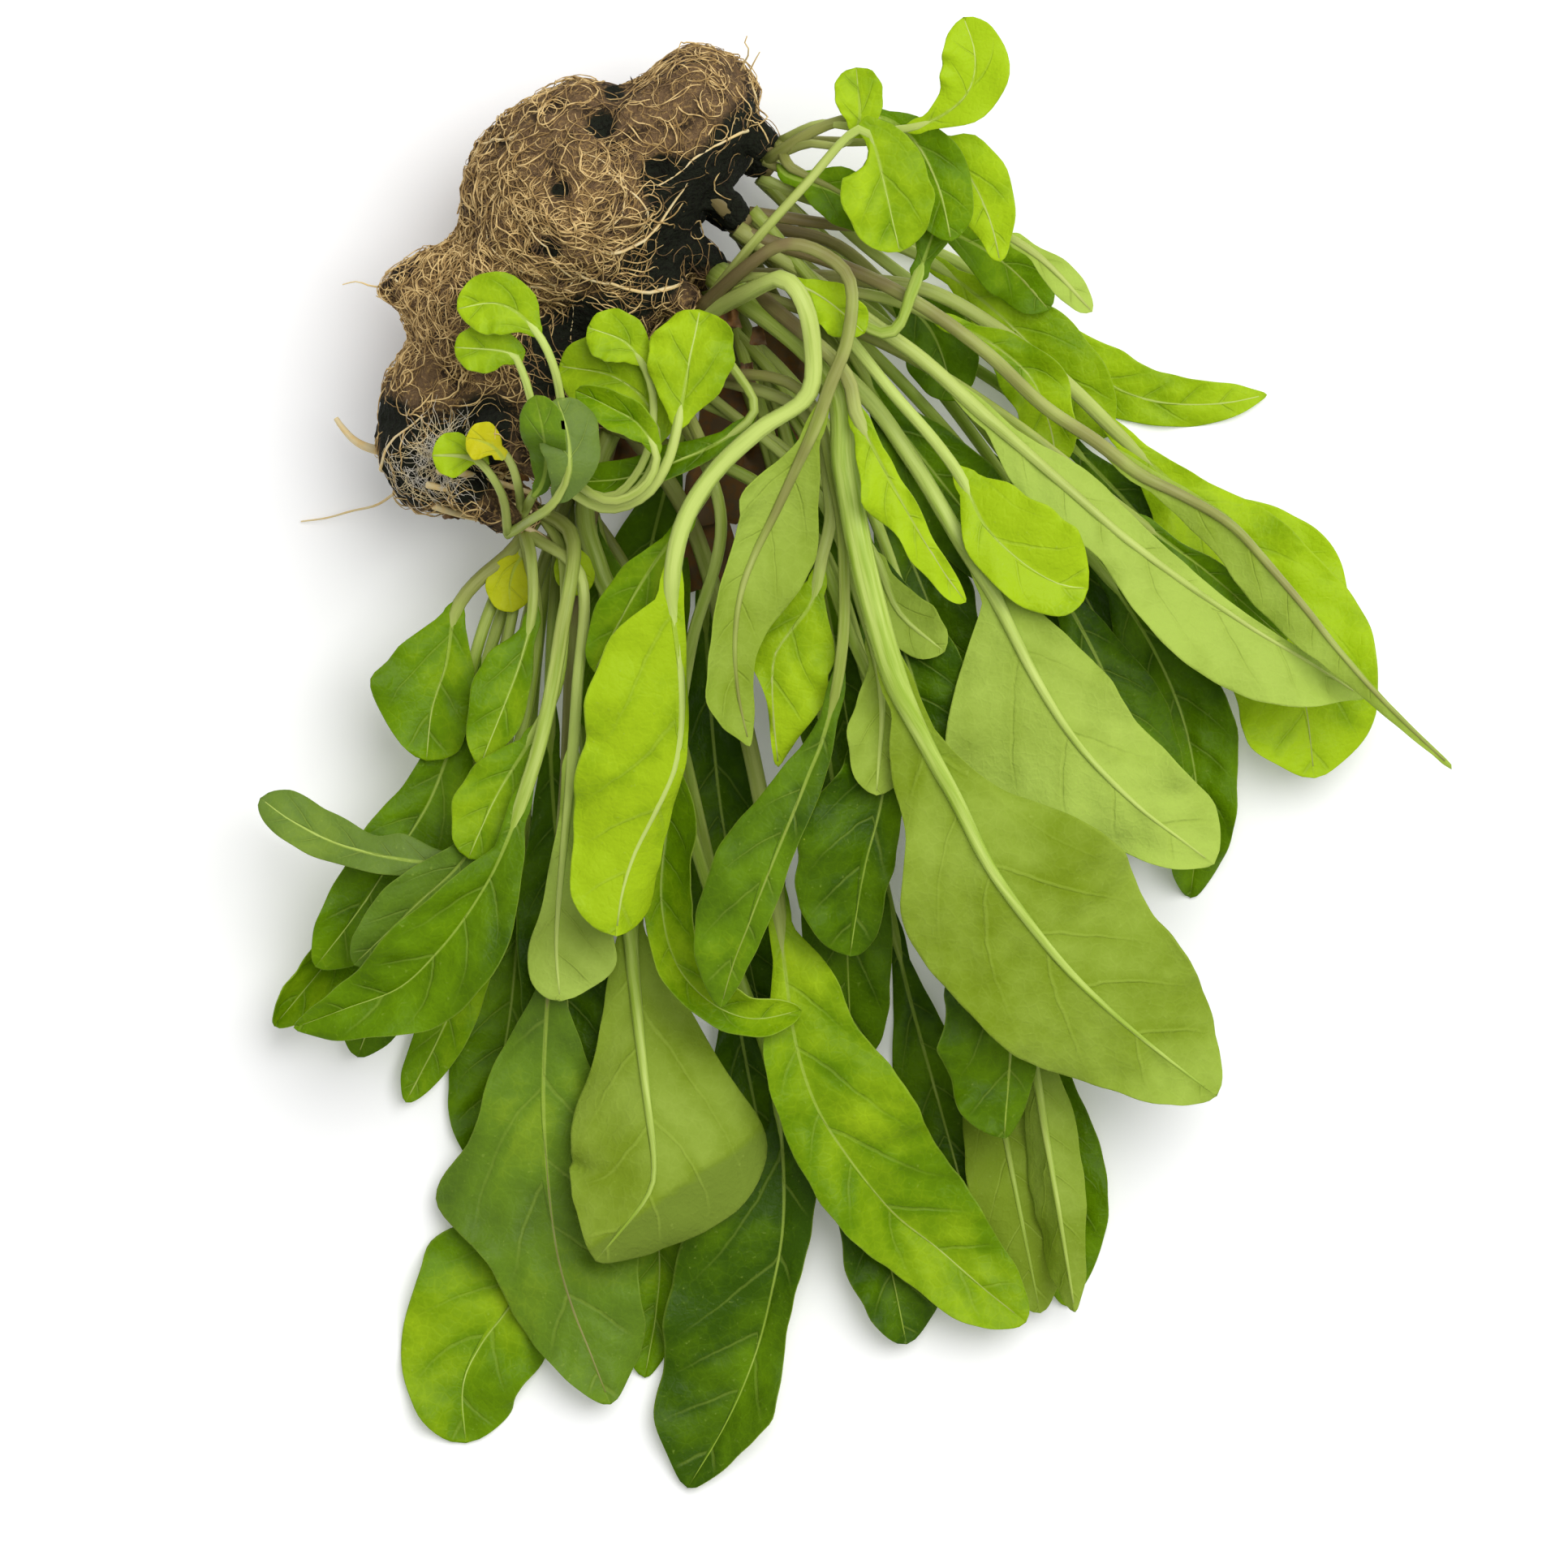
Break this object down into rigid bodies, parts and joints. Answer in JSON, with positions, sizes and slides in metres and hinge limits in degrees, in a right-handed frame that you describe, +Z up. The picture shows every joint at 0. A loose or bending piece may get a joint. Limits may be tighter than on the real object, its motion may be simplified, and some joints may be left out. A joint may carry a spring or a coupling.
{
  "type": "bunch of arugula",
  "caption": "Bunch of young arugula plants with their matted root ball, lying on its side with long stems and spoon-shaped leaves fanned out in a low pile.",
  "frame": {"origin": "middle of the small flat spot under the root ball, on the surface that the bunch lies on", "axes": "+Z up from that surface, +Y from the leaf tips to the root ball, +X to the right seen from above with the root ball at the top"},
  "size_m": [0.2085, 0.2565, 0.0661],
  "materials": {
    "leaf": "soft satin living leaf, from bright to dark green with pale ribs and stalks",
    "peat": "matt dark brown peat matted with straw-coloured fine roots"
  },
  "bodies": {
    "root": {"soil_ball": "peat", "plant_right_lowest": "leaf", "plant_right_under": "leaf", "plant_middle_lowest": "leaf", "plant_left_lowest": "leaf", "plant_left_under": "leaf", "plant_middle_under": "leaf", "plant_left_over": "leaf", "plant_middle": "leaf", "plant_right_over": "leaf", "plant_right_high": "leaf", "plant_top_right": "leaf", "plant_middle_high": "leaf", "plant_left_high": "leaf", "seedling_left": "leaf"}
  },
  "joints": []
}
